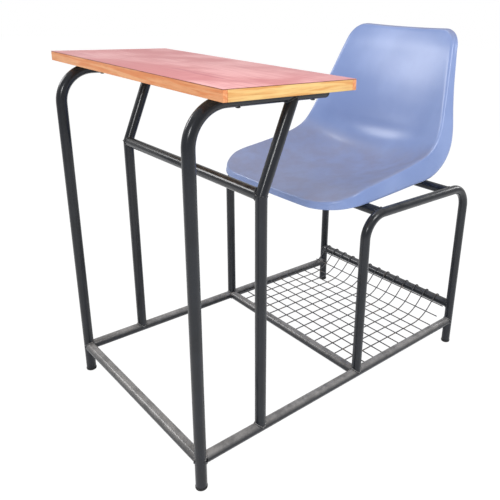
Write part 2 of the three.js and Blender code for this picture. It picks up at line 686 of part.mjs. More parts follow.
// Grid lines on the flat pattern, closer together where the shell curves most.
const LINES_ACROSS = [0, 0.27, 0.52, 0.72, 0.86, 0.95, 1]; // share of the half width
const LINES_PAST_RIM = [ROLL_SPAN / 2, ROLL_SPAN, SKIRT_SPAN];
const LINES_NEAR_FRONT = [0, 9, 24, 44, 75];
const LINES_NEAR_TOP = [70, 42, 20, 7, 0]; // distance before the top rim
const LINES_BETWEEN = 11;

function shellColumns() {
  const half = [
    ...LINES_ACROSS.map((share) => share * SHELL_HALF_WIDTH),
    ...LINES_PAST_RIM.map((d) => SHELL_HALF_WIDTH + d),
  ];
  return [...half.slice(1).reverse().map((x) => -x), ...half];
}

function shellRows() {
  const front = LINES_NEAR_FRONT;
  const rear = LINES_NEAR_TOP.map((d) => RIM_LENGTH - d);
  return [
    ...[...LINES_PAST_RIM].reverse().map((d) => -d),
    ...front,
    ...spread(front.at(-1), rear[0], LINES_BETWEEN + 2).slice(1, -1),
    ...rear,
    ...LINES_PAST_RIM.map((d) => RIM_LENGTH + d),
  ];
}

const underside = (depth) => (x, s) =>
  shellSurface(x, s).addScaledVector(shellNormal(x, s), -depth);

function boss(x, y) {
  const foot = CHAIR_RAIL_HEIGHT + TUBE_RADIUS + FIT_GAP - SADDLE_DEPTH;
  const top = foot + 2 * BOSS_ROOT_HEIGHT;
  const profile = [
    [0, foot],
    [BOSS_FOOT_RADIUS, foot],
    [2 * BOSS_ROOT_RADIUS - BOSS_FOOT_RADIUS, top],
    [0, top],
  ].map(([r, z]) => new THREE.Vector2(r, z));
  const geometry = new THREE.LatheGeometry(profile, BOSS_SIDES);
  geometry.rotateX(Math.PI / 2);
  geometry.translate(x, y, 0);
  return solidFrom(geometry);
}

const BOSS_MARGIN = 40; // how far the block that trims the bosses reaches past them
const CUTTER_LINES = 16;

function buildSeatShell() {
  let shell = mappedSlab(shellColumns(), shellRows(), shellSurface, underside(SHELL_THICKNESS));
  const floor = CHAIR_RAIL_HEIGHT - TUBE_OD;
  const dropped = (x, s) => underside(SHELL_THICKNESS / 2)(x, s).setZ(floor);
  const halfWidth = BOSS_X + BOSS_MARGIN;
  const length = SEAT_TUBE_REAR_Y - CHAIR_FRONT_Y + 2 * BOSS_MARGIN;
  const below = mappedSlab(spread(-halfWidth, halfWidth, CUTTER_LINES),
    spread(BOSS_MARGIN, length, CUTTER_LINES), underside(SHELL_THICKNESS / 2), dropped);
  const holes = [];
  for (const x of [-BOSS_X, BOSS_X]) {
    for (const y of [SEAT_TUBE_FRONT_Y, SEAT_TUBE_REAR_Y]) {
      shell = shell.add(boss(x, y).intersect(below));
      holes.push(pilotHole(x, y, CHAIR_RAIL_HEIGHT + TUBE_RADIUS, SEAT_SCREW_DIAMETER,
        SEAT_SCREW_DEPTH));
    }
  }
  for (const y of [SEAT_TUBE_FRONT_Y, SEAT_TUBE_REAR_Y]) {
    holes.push(cope(crossPath(y, CHAIR_RAIL_HEIGHT)));
  }
  addPart("seat_shell", subtractAll(shell, holes), seatPlastic());
}

buildDesktop();
buildScrews();
buildBasket();
buildSeatShell();

// ---- put the middle of the assembly's box over the origin, feet on the floor --------------------
function centreOverOrigin() {
  const box = new THREE.Box3().setFromObject(group);
  const centre = box.getCenter(new THREE.Vector3());
  for (const mesh of group.children) {
    mesh.geometry.translate(-centre.x, -centre.y, -box.min.z);
  }
}
centreOverOrigin();

export default group;
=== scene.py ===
# %% [markdown]
# # A school desk and its chair in one welded frame
#
# One frame of thin round tube carries everything: a narrow laminated desktop, a moulded plastic
# bucket seat and a wire basket for books.  The CAD model already fixes where each piece goes, so
# this lesson loads it, measures it, and builds the surfaces that are seen around those sizes.
# Lengths are metres, Z is up, and the sitter faces -Y, so +X is the sitter's left.

import math
import random

import bmesh
import bpy
from mathutils import Matrix, Vector


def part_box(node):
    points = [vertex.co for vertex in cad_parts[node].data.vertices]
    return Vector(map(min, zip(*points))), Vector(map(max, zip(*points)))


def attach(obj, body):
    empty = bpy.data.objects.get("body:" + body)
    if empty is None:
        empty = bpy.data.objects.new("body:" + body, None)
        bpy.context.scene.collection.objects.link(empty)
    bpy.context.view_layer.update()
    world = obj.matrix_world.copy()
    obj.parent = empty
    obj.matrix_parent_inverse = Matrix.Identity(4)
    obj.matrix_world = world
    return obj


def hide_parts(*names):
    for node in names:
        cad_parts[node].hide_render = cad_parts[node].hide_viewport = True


MM = 0.001
FIT_GAP = 0.3 * MM  # left between two pieces that touch
X_AXIS, Y_AXIS, Z_AXIS = Vector((1, 0, 0)), Vector((0, 1, 0)), Vector((0, 0, 1))
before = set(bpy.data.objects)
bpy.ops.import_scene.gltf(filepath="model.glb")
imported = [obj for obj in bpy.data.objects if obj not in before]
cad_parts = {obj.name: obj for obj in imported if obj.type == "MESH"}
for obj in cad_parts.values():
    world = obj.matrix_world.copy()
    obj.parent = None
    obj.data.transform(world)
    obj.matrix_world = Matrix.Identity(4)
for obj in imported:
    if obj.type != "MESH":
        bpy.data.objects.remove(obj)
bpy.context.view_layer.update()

# %% [markdown]
# The tubes, legs and rails are measured off the CAD nodes' boxes, so a change there moves the
# visible pieces with it.  A box can't show a bend radius or a curved form, so the bends here, and
# the tables for the shell and the basket below, repeat the CAD's own numbers.

# %% Measure the tubes and where their axes run
def centre(node):
    low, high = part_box(node)
    return (low + high) / 2


side_low, side_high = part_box("desk_side_tube_left")
chair_low, chair_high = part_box("chair_side_frame_left")
TUBE = (side_high.x - side_low.x) / 2
SIDE_X = (side_high.x + side_low.x) / 2
FRONT_Y = side_low.y + TUBE
DESK_RAIL_Z = side_high.z - TUBE
DESK_RAIL_END = side_high.y
LEG_BOTTOM = side_low.z
POST_Y = centre("desk_rear_post_left").y
KNEE_Z = centre("knee_cross_tube").z
FLOOR_RAIL_Z = centre("floor_front_rail").z
CHAIR_FRONT_Y = chair_low.y + TUBE
CHAIR_REAR_Y = chair_high.y - TUBE
CHAIR_RAIL_Z = chair_high.z - TUBE
REAR_RAIL_Z = centre("basket_rear_rail").z
SEAT_TUBES_Y = [centre("seat_cross_tube_front").y, centre("seat_cross_tube_rear").y]
DESK_BEND = 70 * MM
CHAIR_BEND = 52 * MM
BRACE_RUN = 66 * MM
SIDES = {"left": 1, "right": -1}
RUN_IN = TUBE * 0.8  # how far a tube's end is carried into the tube it is welded to
print("tube radius", round(TUBE, 4), "half spacing", round(SIDE_X, 4))

# %% [markdown]
# ## Two small helpers for surfaces
#
# A finish is a small web of nodes.  Writing the sums as Python expressions keeps them readable, so
# `Value` wraps a socket and turns `1 - mask * 0.5` into Math nodes.  `Finish` holds one material
# and adds every other node through one method.

# %% Shader helpers
class Value:
    """A number socket that can stand in a Python expression."""

    def __init__(self, finish, socket):
        self.finish = finish
        self.socket = socket

    def maths(self, operation, first, second):
        return self.finish.node("ShaderNodeMath", {"operation": operation}, {0: first, 1: second})

    def __add__(self, other):
        return self.maths("ADD", self, other)

    def __sub__(self, other):
        return self.maths("SUBTRACT", self, other)

    def __rsub__(self, other):
        return self.maths("SUBTRACT", other, self)

    def __mul__(self, other):
        return self.maths("MULTIPLY", self, other)

    __radd__ = __add__
    __rmul__ = __mul__


class Finish:
    """One Principled material and the nodes that feed it."""

    def __init__(self, name, **shader):
        self.material = bpy.data.materials.new(name)
        self.material.use_nodes = True
        self.tree = self.material.node_tree
        self.surface = self.tree.nodes["Principled BSDF"]
        for socket, value in shader.items():
            self.set(socket.replace("_", " "), value)

    def set(self, socket, value):
        if isinstance(value, Value):
            self.tree.links.new(value.socket, self.surface.inputs[socket])
        else:
            self.surface.inputs[socket].default_value = value

    def node(self, kind, settings=None, inputs=None, output=0):
        made = self.tree.nodes.new(kind)
        for key, value in (settings or {}).items():
            setattr(made, key, value)
        for key, value in (inputs or {}).items():
            if isinstance(value, Value):
                self.tree.links.new(value.socket, made.inputs[key])
            else:
                made.inputs[key].default_value = value
        return Value(self, made.outputs[output])

    def place(self, scale=(1, 1, 1), turn=(0, 0, 0)):
        """Object coordinates, stretched and turned for one pattern."""
        where = self.node("ShaderNodeTexCoord", output="Object")
        return self.node("ShaderNodeMapping", {}, {"Vector": where, "Scale": scale,
                                                   "Rotation": turn})

    def noise(self, size, detail=3, roughness=0.5, stretch=(1, 1, 1), distortion=0):
        """Cloudy noise with features of about the given size in metres."""
        scale = tuple(s / size for s in stretch)
        return self.node("ShaderNodeTexNoise", {}, {"Vector": self.place(scale), "Scale": 1,
                         "Detail": detail, "Roughness": roughness, "Distortion": distortion})

    def ramp(self, value, low, high):
        """0 below low and 1 above high, eased in between."""
        return self.node("ShaderNodeMapRange", {"interpolation_type": "SMOOTHSTEP"},
                         {"Value": value, "From Min": low, "From Max": high})

    def mix(self, factor, first, second):
        return self.node("ShaderNodeMix", {"data_type": "RGBA"},
                         {0: factor, 6: first, 7: second}, output=2)

    def facing_up(self):
        """The upward part of the surface normal: 1 on top, 0 on the sides."""
        normal = self.node("ShaderNodeNewGeometry", output="Normal")
        return self.node("ShaderNodeSeparateXYZ", {}, {0: normal}, output="Z")

    def height(self):
        where = self.node("ShaderNodeTexCoord", output="Object")
        return self.node("ShaderNodeSeparateXYZ", {}, {0: where}, output="Z")

    def bump(self, height, depth, strength=1.0):
        relief = self.node("ShaderNodeBump", {}, {"Height": height, "Distance": depth,
                                                  "Strength": strength})
        self.set("Normal", relief)


def rgb(red, green, blue):
    """A colour given as it looks on a screen, 0 to 255, in the linear values nodes use."""
    def linear(channel):
        c = channel / 255
        return c / 12.92 if c <= 0.04045 else ((c + 0.055) / 1.055) ** 2.4
    return (linear(red), linear(green), linear(blue), 1)


# %% [markdown]
# ## Paint on the tubes
#
# The frame was sprayed in a dark blue-grey gloss enamel after welding.  Up close it has a faint
# orange-peel texture.  Low rails are where shoes and dust land, so their upper faces have gone a
# pale grey, and knocks have chipped the paint here and there.  Dust is placed by how far the
# surface faces up and how low it is, so it needs no unwrapping and lands on every tube alike.

# %% Frame paint
def make_tube_paint():
    finish = Finish("tube_paint", Coat_Weight=0.7, Coat_Roughness=0.17, Specular_IOR_Level=0.15)
    mottled = finish.noise(40 * MM, detail=4)
    paint = finish.mix(mottled, rgb(16, 18, 23), rgb(32, 37, 46))
    up = finish.ramp(finish.facing_up(), 0.1, 0.95)
    low_down = 1 - finish.ramp(finish.height(), 0.08, 0.14)
    patches = finish.ramp(finish.noise(28 * MM, detail=5, roughness=0.65), 0.3, 0.62)
    light_dust = up * 0.12 * patches
    dust = finish.node("ShaderNodeClamp", {}, {0: low_down * up * (patches * 0.35 + 0.55)
                                               + light_dust})
    dusty = finish.mix(dust, paint, rgb(150, 148, 147))
    grain = finish.noise(7 * MM, detail=6, roughness=0.7)
    chips = finish.ramp(grain, 0.72, 0.735)
    finish.set("Base Color", finish.mix(chips, dusty, rgb(142, 134, 128)))
    finish.set("Roughness", 0.30 + dust * 0.45 + chips * 0.2)
    peel = finish.noise(1.6 * MM, detail=2)
    finish.bump(peel * 0.25 - chips * 0.6, 0.25 * MM, 0.5)
    return finish.material


TUBE_PAINT = make_tube_paint()
print("finish", TUBE_PAINT.name)

# %% [markdown]
# ## Pieces and tubes
#
# Every new piece ends the same way: its bmesh becomes a mesh, its faces are shaded smooth with
# crisp edges kept, it takes a material and it rides on the frame's only body.

# %% Turn a bmesh into a finished piece
def add_piece(name, shape, material, stands_for=(), crease=40):
    bmesh.ops.recalc_face_normals(shape, faces=shape.faces)
    mesh = bpy.data.meshes.new(name)
    shape.to_mesh(mesh)
    shape.free()
    mesh.materials.append(material)
    for polygon in mesh.polygons:
        polygon.use_smooth = True
    mesh.set_sharp_from_angle(angle=math.radians(crease))
    piece = bpy.data.objects.new(name, mesh)
    bpy.context.scene.collection.objects.link(piece)
    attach(piece, "root")
    if stands_for:
        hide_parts(*stands_for)
    return piece


# %% [markdown]
# A bent tube can be a bevelled curve or a swept mesh.  Here a circle is drawn at one end, then
# extruded along each straight and spun round each bend, which is just what the tube bender did.

# %% Draw a tube by extruding and spinning a circle
def open_edges(shape):
    return [edge for edge in shape.edges if edge.is_boundary]


def start_circle(shape, start, heading, radius, sides):
    turn = Vector((0, 0, 1)).rotation_difference(heading).to_matrix().to_4x4()
    bmesh.ops.create_circle(shape, cap_ends=False, segments=sides, radius=radius,
                            matrix=Matrix.Translation(start) @ turn)
    return list(shape.edges)


def push(shape, ring, offset):
    made = bmesh.ops.extrude_edge_only(shape, edges=ring)["geom"]
    bmesh.ops.translate(shape, verts=[v for v in made if isinstance(v, bmesh.types.BMVert)],
                        vec=offset)
    return [e for e in made if isinstance(e, bmesh.types.BMEdge)]


def swing(shape, ring, pivot, axis, angle, steps):
    made = bmesh.ops.spin(shape, geom=ring, cent=pivot, axis=axis, angle=angle, steps=steps,
                          use_duplicate=False)["geom_last"]
    return [e for e in made if isinstance(e, bmesh.types.BMEdge)]


def tube_shape(corners, bends=(), radius=TUBE, sides=32, steps_per_turn=40):
    """A closed round bar through the corners; bends gives the centreline radius at each."""
    shape = bmesh.new()
    points = [Vector(c) for c in corners]
    heading = (points[1] - points[0]).normalized()
    ring = start_circle(shape, points[0], heading, radius, sides)
    at = points[0]
    for i, bend in enumerate(bends, start=1):
        after = (points[i + 1] - points[i]).normalized()
        angle = heading.angle(after)
        setback = bend * math.tan(angle / 2)
        bend_start = points[i] - heading * setback
        ring = push(shape, ring, bend_start - at)
        axis = heading.cross(after).normalized()
        pivot = bend_start + axis.cross(heading) * bend
        steps = max(3, round(steps_per_turn * angle / math.tau * 2))
        ring = swing(shape, ring, pivot, axis, angle, steps)
        at = points[i] + after * setback
        heading = after
    push(shape, ring, points[-1] - at)
    bmesh.ops.holes_fill(shape, edges=open_edges(shape), sides=0)
    return shape


# %% [markdown]
# The desk's two side tubes each go up as a front leg and bend back as the rail under the desktop.
# A rear post stands on the floor rail and is cut and welded to a slanted brace at the knee, so
# that joint is a mitre and not a bend.  Each chair side is one tube bent twice.

# %% The side tubes
def side_tubes(side, sign):
    x = sign * SIDE_X
    knee = Vector((x, POST_Y, KNEE_Z))
    brace_top = Vector((x, POST_Y + BRACE_RUN, DESK_RAIL_Z - TUBE * 0.6))
    desk = [(x, FRONT_Y, LEG_BOTTOM), (x, FRONT_Y, DESK_RAIL_Z), (x, DESK_RAIL_END, DESK_RAIL_Z)]
    chair = [(x, CHAIR_FRONT_Y, FLOOR_RAIL_Z + TUBE * 0.5), (x, CHAIR_FRONT_Y, CHAIR_RAIL_Z),
             (x, CHAIR_REAR_Y, CHAIR_RAIL_Z), (x, CHAIR_REAR_Y, LEG_BOTTOM)]
    floor = [(x, FRONT_Y + RUN_IN, FLOOR_RAIL_Z), (x, CHAIR_REAR_Y - RUN_IN, FLOOR_RAIL_Z)]
    post = [(x, POST_Y, FLOOR_RAIL_Z + TUBE * 0.5), knee]
    return {
        f"desk_side_tube_{side}": tube_shape(desk, [DESK_BEND]),
        f"chair_side_frame_{side}": tube_shape(chair, [CHAIR_BEND, CHAIR_BEND]),
        f"floor_side_rail_{side}": tube_shape(floor),
        f"desk_rear_post_{side}": mitred(tube_shape([post[0], knee + Vector((0, 0, TUBE))]), knee,
                                         brace_top, above=True),
        f"desk_rear_brace_{side}": mitred(
            tube_shape([knee - (brace_top - knee).normalized() * TUBE, brace_top]), knee,
            brace_top, above=False),
    }


def mitred(shape, knee, brace_top, above):
    """Cut a tube on the plane that halves the knee's angle, and close the cut."""
    slope = (brace_top - knee).normalized() + Vector((0, 0, 1))
    cut = bmesh.ops.bisect_plane(shape, geom=shape.verts[:] + shape.edges[:] + shape.faces[:],
                                 plane_co=knee, plane_no=slope, clear_outer=above,
                                 clear_inner=not above)["geom_cut"]
    edges = [e for e in cut if isinstance(e, bmesh.types.BMEdge)]
    bmesh.ops.holes_fill(shape, edges=edges, sides=0)
    return shape


for side, sign in SIDES.items():
    for name, shape in side_tubes(side, sign).items():
        add_piece(f"{name}_painted", shape, TUBE_PAINT, [name])
print("side tubes", 5 * len(SIDES))

# %% [markdown]
# Straight tubes tie the two sides together: one between the front legs, one at the knees, one on
# the floor under the chair's front, one raised at its back, and two that carry the seat.

# %% The cross tubes
CROSS_TUBES = {
    "floor_front_rail": (FRONT_Y, FLOOR_RAIL_Z),
    "floor_middle_rail": (CHAIR_FRONT_Y, FLOOR_RAIL_Z),
    "basket_rear_rail": (CHAIR_REAR_Y, REAR_RAIL_Z),
    "knee_cross_tube": (POST_Y, KNEE_Z),
    "seat_cross_tube_front": (SEAT_TUBES_Y[0], CHAIR_RAIL_Z),
    "seat_cross_tube_rear": (SEAT_TUBES_Y[1], CHAIR_RAIL_Z),
}
for name, (y, z) in CROSS_TUBES.items():
    reach = SIDE_X - TUBE * 0.5
    shape = tube_shape([(-reach, y, z), (reach, y, z)])
    add_piece(f"{name}_painted", shape, TUBE_PAINT, [name])
print("cross tubes", len(CROSS_TUBES))

# %% [markdown]
# ## Weld beads
#
# Each joint is welded by hand, and the bead stands proud as a lumpy ring where one tube meets the
# other.  The seam is the curve where two cylinders meet, which one quadratic gives, and a curve
# with an uneven thickness along it makes the ripples.

# %% Find the seam and lay a bead on it
dice = random.Random(7)


def seam(meeting, branch, main, branch_radius=TUBE * 0.97, main_radius=TUBE, count=56):
    """Points where a branch tube, running along branch, first meets a tube lying along main."""
    branch = branch.normalized()
    main = main.normalized()
    side = branch.cross(main).normalized()
    other = branch.cross(side)
    flat_branch = branch - main * branch.dot(main)
    points = []
    for i in range(count):
        angle = math.tau * i / count
        spoke = (side * math.cos(angle) + other * math.sin(angle)) * branch_radius
        flat = spoke - main * spoke.dot(main)
        a = flat_branch.length_squared
        b = flat.dot(flat_branch)
        c = flat.length_squared - main_radius**2
        reach = (-b - math.sqrt(max(b * b - a * c, 0))) / a
        points.append(meeting + spoke + branch * reach)
    return points


def lay_bead(name, points, thickness=2.0 * MM, spatter=0.35):
    curve = bpy.data.curves.new(name, "CURVE")
    curve.dimensions = "3D"
    curve.bevel_depth = thickness
    curve.bevel_resolution = 2
    spline = curve.splines.new("POLY")
    spline.points.add(len(points) - 1)
    spline.use_cyclic_u = True
    spline.use_smooth = True
    for i, (point, place) in enumerate(zip(spline.points, points)):
        ripple = 1 + 0.16 * math.sin(i * 1.9) + spatter * (dice.random() - 0.5)
        point.co = (*place, 1)
        point.radius = ripple
    curve.materials.append(TUBE_PAINT)
    bead = bpy.data.objects.new(name, curve)
    bpy.context.scene.collection.objects.link(bead)
    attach(bead, "root")


# %% Weld every joint
def weld_side(side, sign):
    x = sign * SIDE_X
    out = X_AXIS * sign
    lean = Vector((0, BRACE_RUN, DESK_RAIL_Z - KNEE_Z)).normalized()
    joints = {
        "post_foot": ((x, POST_Y, FLOOR_RAIL_Z), -Z_AXIS, Y_AXIS),
        "brace_top": ((x, POST_Y + BRACE_RUN, DESK_RAIL_Z), lean, Y_AXIS),
        "knee": ((x, POST_Y, KNEE_Z), out, Z_AXIS),
        "floor_front": ((x, FRONT_Y, FLOOR_RAIL_Z), out, Z_AXIS),
        "floor_side_front": ((x, FRONT_Y, FLOOR_RAIL_Z), -Y_AXIS, Z_AXIS),
        "floor_side_rear": ((x, CHAIR_REAR_Y, FLOOR_RAIL_Z), Y_AXIS, Z_AXIS),
        "floor_middle": ((x, CHAIR_FRONT_Y, FLOOR_RAIL_Z), out, Y_AXIS),
        "chair_foot": ((x, CHAIR_FRONT_Y, FLOOR_RAIL_Z), -Z_AXIS, Y_AXIS),
        "basket_rear": ((x, CHAIR_REAR_Y, REAR_RAIL_Z), out, Z_AXIS),
        "seat_front": ((x, SEAT_TUBES_Y[0], CHAIR_RAIL_Z), out, Y_AXIS),
        "seat_rear": ((x, SEAT_TUBES_Y[1], CHAIR_RAIL_Z), out, Y_AXIS),
    }
    for joint, (place, branch, main) in joints.items():
        lay_bead(f"weld_{joint}_{side}", seam(Vector(place), branch, main))
    return len(joints)


print("welds", sum(weld_side(side, sign) for side, sign in SIDES.items()))

# %% [markdown]
# The mitred knee has a bead of its own, on the ellipse where the cutting plane crosses the post.

# %% Weld the mitres
def mitre_ring(x, count=48):
    slope = (Vector((0, BRACE_RUN, DESK_RAIL_Z - KNEE_Z)).normalized() + Z_AXIS).normalized()
    ring = []
    for i in range(count):
        angle = math.tau * i / count
        across = Vector((math.cos(angle), math.sin(angle), 0)) * TUBE
        drop = -across.dot(slope) / slope.z
        ring.append(Vector((x, POST_Y, KNEE_Z)) + across + Z_AXIS * drop)
    return ring


for side, sign in SIDES.items():
    lay_bead(f"weld_mitre_{side}", mitre_ring(sign * SIDE_X), thickness=1.3 * MM)

# %% [markdown]
# ## Black end caps
#
# Moulded caps close the four feet and the two open rail ends.  Each is a turned shape, so its
# half outline is drawn as a few points and spun round its axis.

# %% Black plastic and a lathe
def make_cap_plastic():
    finish = Finish("cap_plastic", Specular_IOR_Level=0.4)
    scuffs = finish.noise(6 * MM, detail=5, roughness=0.7)
    finish.set("Base Color", finish.mix(scuffs, rgb(22, 22, 24), rgb(58, 56, 56)))
    finish.set("Roughness", 0.5 + scuffs * 0.3)
    finish.bump(scuffs, 0.2 * MM, 0.4)
    return finish.material


CAP_PLASTIC = make_cap_plastic()


def turned(outline, origin, axis=Z_AXIS, steps=32):
    """Spin an outline of (radius, height) pairs round an axis through origin."""
    shape = bmesh.new()
    verts = [shape.verts.new((r, 0, h)) for r, h in outline]
    edges = [shape.edges.new(pair) for pair in zip(verts, verts[1:])]
    bmesh.ops.spin(shape, geom=verts + edges, cent=(0, 0, 0), axis=(0, 0, 1),
                   angle=math.tau, steps=steps, use_merge=True)
    bmesh.ops.remove_doubles(shape, verts=shape.verts, dist=1e-6)
    turn = Z_AXIS.rotation_difference(axis).to_matrix().to_4x4()
    bmesh.ops.transform(shape, verts=shape.verts, matrix=Matrix.Translation(origin) @ turn)
    return shape


def cap_outline(radius, height, dome=2.2 * MM, plug=10 * MM):
    """A button with a rounded rim, and the plug that goes up the bore."""
    rim = [(radius - dome + dome * math.sin(a), dome - dome * math.cos(a))
           for a in [math.radians(d) for d in range(0, 91, 15)]]
    inner = TUBE * 0.85
    return [(0, 0), *rim, (radius, height), (inner, height), (inner, height + plug),
            (0, height + plug)]


# %% Caps on the feet and on the rail ends
CAP_HEIGHT = LEG_BOTTOM - FIT_GAP
FOOT_RADIUS = (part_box("foot_cap_front_left")[1].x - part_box("foot_cap_front_left")[0].x) / 2
for side, sign in SIDES.items():
    for end, y in {"front": FRONT_Y, "rear": CHAIR_REAR_Y}.items():
        shape = turned(cap_outline(FOOT_RADIUS, CAP_HEIGHT), Vector((sign * SIDE_X, y, 0)))
        add_piece(f"foot_cap_{end}_{side}_moulded", shape, CAP_PLASTIC,
                  [f"foot_cap_{end}_{side}"])
    tip = Vector((sign * SIDE_X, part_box(f"desk_rail_cap_{side}")[1].y, DESK_RAIL_Z))
    shape = turned(cap_outline(TUBE, CAP_HEIGHT, dome=4.5 * MM), tip, -Y_AXIS)
    add_piece(f"desk_rail_cap_{side}_moulded", shape, CAP_PLASTIC,
              [f"desk_rail_cap_{side}"])
print("caps", 3 * len(SIDES))

# %% [markdown]
# ## Desktop
#
# The top is a board with a thin plastic laminate pressed on, printed with a pinkish-red wood
# grain, and strips of pale softwood glued round its edge.  The printed grain is long soft streaks
# along the board, so noise is stretched about thirty times in X.  The laminate's cut edge shows
# as a thin dark line.

# %% Laminate
def make_laminate():
    finish = Finish("laminate", Specular_IOR_Level=0.4, Coat_Weight=0.15, Coat_Roughness=0.2)
    streaks = finish.noise(5 * MM, detail=5, roughness=0.6, stretch=(0.035, 1, 1), distortion=0.3)
    cathedral = finish.noise(60 * MM, detail=3, stretch=(0.18, 1, 1), distortion=1.2)
    clouds = finish.noise(150 * MM, detail=3)
    base = finish.mix(finish.ramp(clouds, 0.38, 0.62), rgb(222, 140, 142), rgb(250, 186, 186))
    grain = finish.ramp(streaks, 0.44, 0.66) * 0.55
    grained = finish.mix(grain, base, rgb(216, 124, 132))
    dark = finish.ramp(cathedral, 0.56, 0.66) * finish.ramp(streaks, 0.36, 0.60) * 0.5
    figured = finish.mix(dark, grained, rgb(190, 98, 112))
    edge = 1 - finish.ramp(finish.facing_up(), 0.2, 0.7)
    finish.set("Base Color", finish.mix(edge, figured, rgb(146, 88, 66)))
    finish.set("Roughness", 0.34 + streaks * 0.12)
    finish.bump(streaks, 0.05 * MM, 0.25)
    return finish.material


# %% [markdown]
# The softwood strips have straight grain running along each strip.  One recipe takes the direction
# of the grain and the base colour, because the strips at the front and at the sides differ.

# %% Softwood strips and board core
def make_softwood(name, stretch, pale, deep):
    finish = Finish(name, Specular_IOR_Level=0.35)
    rings = finish.noise(7 * MM, detail=3, stretch=stretch, distortion=0.8)
    fibres = finish.noise(1.2 * MM, detail=3, roughness=0.6, stretch=stretch)
    tone = finish.noise(90 * MM, detail=2)
    wood = finish.mix(finish.ramp(rings, 0.42, 0.62), pale, deep)
    toned = finish.mix(finish.ramp(tone, 0.4, 0.75) * 0.45, wood, rgb(226, 138, 82))
    finish.set("Base Color", finish.mix(finish.ramp(fibres, 0.5, 0.72) * 0.3, toned,
                                        rgb(176, 112, 62)))
    finish.set("Roughness", 0.5 + fibres * 0.15)
    finish.bump(rings + fibres * 0.5, 0.12 * MM, 0.35)
    return finish.material


def make_board_core():
    finish = Finish("board_core", Specular_IOR_Level=0.2)
    chips = finish.node("ShaderNodeTexVoronoi", {}, {"Vector": finish.place((1, 1, 1)),
                        "Scale": 1 / (3.5 * MM)}, output="Color")
    shade = finish.node("ShaderNodeSeparateXYZ", {}, {0: chips}, output="X")
    finish.set("Base Color", finish.mix(shade, rgb(150, 112, 74), rgb(206, 172, 126)))
    finish.set("Roughness", 0.8 + shade * 0.1)
    finish.bump(shade, 0.2 * MM, 0.5)
    return finish.material


LAMINATE = make_laminate()
FRONT_WOOD = make_softwood("edge_wood_front", (0.05, 1, 1), rgb(250, 184, 134), rgb(236, 150, 98))
SIDE_WOOD = make_softwood("edge_wood_side", (1, 0.05, 1), rgb(248, 208, 138), rgb(230, 168, 96))
BOARD_CORE = make_board_core()

# %% Board, laminate and strips
def slab(node, ease=0.5 * MM, segments=2):
    """A block that fills a CAD node's box, with its edges eased over."""
    low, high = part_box(node)
    shape = bmesh.new()
    size = Matrix.Diagonal((*(high - low), 1))
    bmesh.ops.create_cube(shape, size=1, matrix=Matrix.Translation((low + high) / 2) @ size)
    bmesh.ops.bevel(shape, geom=shape.edges[:], offset=ease, segments=segments,
                    affect="EDGES", profile=0.5, material=-1)
    return shape


DESKTOP = {
    "desktop_board": (BOARD_CORE, "board_core", 0.2 * MM),
    "desktop_laminate": (LAMINATE, "laminate", 0.25 * MM),
    "desktop_edge_front": (FRONT_WOOD, "edge_wood", 0.7 * MM),
    "desktop_edge_rear": (FRONT_WOOD, "edge_wood", 0.7 * MM),
    "desktop_edge_left": (SIDE_WOOD, "edge_wood", 0.5 * MM),
    "desktop_edge_right": (SIDE_WOOD, "edge_wood", 0.5 * MM),
}
for node, (material, slot, ease) in DESKTOP.items():
    add_piece(f"{node}_finished", slab(node, ease), material, [node], crease=50)
print("desktop pieces", len(DESKTOP))

# %% [markdown]
# ## Bucket seat
#
# The seat is one injection-moulded shell: a dished pan that sweeps up into the back, with a rolled
# lip and a skirt turned down all round.  It is drawn from a side outline.  Each station gives the
# rim's place in the side view, the half width there, the depth of the skirt and how far the middle
# is dished.  A grid laid over the flat pattern is then pressed onto that form.

# %% Stations of the shell, from the front lip to the top edge
STATIONS = [
    # distance behind the front legs, height, half width, skirt, dish, all in millimetres
    (352, 475, 203, 14, 4),
    (385, 484, 212, 20, 9),
    (432, 500, 215, 33, 20),
    (505, 512, 215, 40, 30),
    (592, 528, 215, 49, 42),
    (646, 545, 218, 60, 50),
    (676, 569, 219, 59, 47),
    (697, 604, 214, 48, 37),
    (718, 652, 202, 32, 28),
    (737, 700, 190, 22, 21),
    (756, 750, 178, 17, 16),
    (769, 782, 170, 14, 12),
    (787, 819, 161, 13, 8),
]
HALF_WIDTH = 200 * MM
FRONT_CORNER = 74 * MM
TOP_CORNER = 38 * MM
SKIRT_SPAN = 20 * MM
ROLL = 7 * MM
FLARE = 5 * MM
WALL = 4.5 * MM
ROLL_SHARE = 0.35


def smooth_between(p0, p1, p2, p3, t):
    """A Catmull-Rom curve from p1 to p2, one value at a time."""
    pull, push_on = (p2 - p0) / 2, (p3 - p1) / 2
    a = 2 * p1 - 2 * p2 + pull + push_on
    b = -3 * p1 + 3 * p2 - 2 * pull - push_on
    return ((a * t + b) * t + pull) * t + p1


def fine_stations(steps=24):
    rows = [tuple(v * MM for v in row) for row in STATIONS]
    padded = [rows[0], *rows, rows[-1]]
    fine = []
    for i in range(len(rows) - 1):
        for k in range(steps):
            four = zip(*padded[i:i + 4])
            fine.append([smooth_between(*values, k / steps) for values in four])
    return [*fine, list(rows[-1])]


def with_distance(fine):
    """Put the distance walked along the outline in front of each fine station."""
    walked = 0.0
    rows = [(0.0, *fine[0])]
    for before, after in zip(fine, fine[1:]):
        walked += math.hypot(after[0] - before[0], after[1] - before[1])
        rows.append((walked, *after))
    return rows


OUTLINE = with_distance(fine_stations())
LENGTH = OUTLINE[-1][0]
print("outline length", round(LENGTH, 3))

# %% [markdown]
# Any point of the shell is found in three moves.  `outline_at` reads the side view.  `rim_of` says
# where on the rounded flat pattern the nearest rim point is.  `on_shell` puts the two together:
# inside the rim the point is dished, and beyond it the point rolls over and runs down the skirt.

